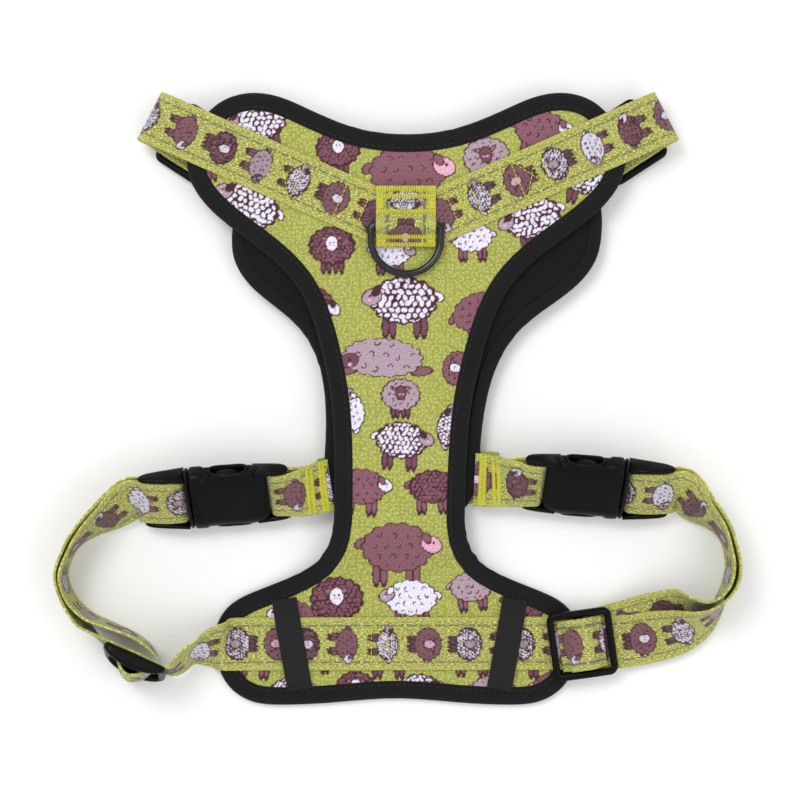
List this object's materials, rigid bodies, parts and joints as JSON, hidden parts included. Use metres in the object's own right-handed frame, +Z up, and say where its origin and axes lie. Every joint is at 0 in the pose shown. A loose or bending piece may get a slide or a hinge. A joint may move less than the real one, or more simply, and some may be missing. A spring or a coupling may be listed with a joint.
{
  "type": "no pull dog harness",
  "caption": "Padded step-in dog harness laid flat, with chest and back panels, adjustable neck and girth webbing, side-release buckles and leash rings at chest and back.",
  "frame": {"origin": "on the surface the harness lies on, under the middle of its box", "axes": "+X to the right across the harness, +Y to its neck edge, +Z up off the surface"},
  "size_m": [0.3219, 0.2939, 0.0329],
  "materials": {
    "printed_fabric": "woven polyester with an all-over print",
    "printed_webbing": "coarse woven webbing with an all-over print",
    "binding": "matt stretch tape",
    "lining": "matt smooth knit",
    "foam": "soft open foam",
    "keeper_tape": "matt ribbed tape",
    "black_plastic": "satin moulded acetal",
    "gunmetal": "polished gunmetal plate"
  },
  "bodies": {
    "harness": {"chest_face": "printed_fabric", "chest_foam": "foam", "chest_lining": "lining", "chest_binding": "binding", "back_face": "printed_fabric", "back_foam": "foam", "back_lining": "lining", "back_binding": "binding", "front_ring_tab": "printed_webbing", "back_ring_tab": "printed_webbing", "girth_strap_center": "printed_webbing", "girth_strap_left": "printed_webbing", "neck_strap_left": "printed_webbing", "back_strap_left": "printed_webbing", "keeper_left": "keeper_tape", "buckle_housing_left": "black_plastic", "girth_strap_right": "printed_webbing", "neck_strap_right": "printed_webbing", "back_strap_right": "printed_webbing", "keeper_right": "keeper_tape", "buckle_housing_right": "black_plastic"},
    "front_ring": {"front_ring": "gunmetal"},
    "back_ring": {"back_ring": "gunmetal"},
    "left_insert": {"buckle_insert_left": "black_plastic"},
    "left_prong_upper": {"buckle_prong_left_upper": "black_plastic"},
    "left_prong_lower": {"buckle_prong_left_lower": "black_plastic"},
    "right_insert": {"buckle_insert_right": "black_plastic"},
    "right_prong_upper": {"buckle_prong_right_upper": "black_plastic"},
    "right_prong_lower": {"buckle_prong_right_lower": "black_plastic"},
    "girth_slider_left": {"girth_slider_left": "black_plastic", "girth_wrap_left": "printed_webbing"},
    "neck_slider_left": {"neck_slider_left": "black_plastic", "neck_wrap_left": "printed_webbing"},
    "girth_slider_right": {"girth_slider_right": "black_plastic", "girth_wrap_right": "printed_webbing"},
    "neck_slider_right": {"neck_slider_right": "black_plastic", "neck_wrap_right": "printed_webbing"}
  },
  "joints": [
    {"name": "front_ring_swing", "type": "hinge", "parent": "harness", "child": "front_ring", "pos_m": [0.004, 0.0825, 0.01695], "axis": [-1, 0, 0], "range_deg": [0, 160]},
    {"name": "back_ring_swing", "type": "hinge", "parent": "harness", "child": "back_ring", "pos_m": [0.0055, 0.052, 0.00375], "axis": [1, 0, 0], "range_deg": [0, 160]},
    {"name": "left_buckle_release", "type": "slide", "parent": "harness", "child": "left_insert", "axis": [-0.9976, -0.0698, 0], "range_m": [0, 0.03], "deforming": ["buckle_prong_left_upper", "buckle_prong_left_lower", "girth_strap_left"]},
    {"name": "left_prong_upper_squeeze", "type": "hinge", "parent": "left_insert", "child": "left_prong_upper", "pos_m": [-0.09637, -0.03933, 0.02128], "axis": [-0.0448, 0.6412, -0.766], "range_deg": [0, 8], "stiffness_Nm_per_rad": 0.35},
    {"name": "left_prong_lower_squeeze", "type": "hinge", "parent": "left_insert", "child": "left_prong_lower", "pos_m": [-0.09541, -0.05309, 0.00971], "axis": [0.0448, -0.6412, 0.766], "range_deg": [0, 8], "stiffness_Nm_per_rad": 0.35},
    {"name": "right_buckle_release", "type": "slide", "parent": "harness", "child": "right_insert", "axis": [0.9976, -0.0698, 0], "range_m": [0, 0.03], "deforming": ["buckle_prong_right_upper", "buckle_prong_right_lower", "girth_strap_right"]},
    {"name": "right_prong_upper_squeeze", "type": "hinge", "parent": "right_insert", "child": "right_prong_upper", "pos_m": [0.10487, -0.03483, 0.02128], "axis": [-0.0448, -0.6412, 0.766], "range_deg": [0, 8], "stiffness_Nm_per_rad": 0.35},
    {"name": "right_prong_lower_squeeze", "type": "hinge", "parent": "right_insert", "child": "right_prong_lower", "pos_m": [0.10391, -0.04859, 0.00971], "axis": [0.0448, 0.6412, -0.766], "range_deg": [0, 8], "stiffness_Nm_per_rad": 0.35},
    {"name": "girth_slider_left_adjust", "type": "slide", "parent": "harness", "child": "girth_slider_left", "axis": [0.9164, -0.4003, 0], "range_m": [-0.012, 0], "deforming": ["girth_strap_left"]},
    {"name": "neck_slider_left_adjust", "type": "slide", "parent": "harness", "child": "neck_slider_left", "axis": [0.8387, -0.5446, 0], "range_m": [-0.006, 0.03], "deforming": ["neck_strap_left"]},
    {"name": "girth_slider_right_adjust", "type": "slide", "parent": "harness", "child": "girth_slider_right", "axis": [0.9903, 0.1392, 0], "range_m": [-0.006, 0.012], "deforming": ["girth_strap_right"]},
    {"name": "neck_slider_right_adjust", "type": "slide", "parent": "harness", "child": "neck_slider_right", "axis": [-0.8387, -0.5446, 0], "range_m": [-0.006, 0.03], "deforming": ["neck_strap_right"]}
  ],
  "couplings": [
    {"joint": "left_prong_lower_squeeze", "follows": "left_prong_upper_squeeze", "ratio": 1},
    {"joint": "right_prong_lower_squeeze", "follows": "right_prong_upper_squeeze", "ratio": 1}
  ]
}
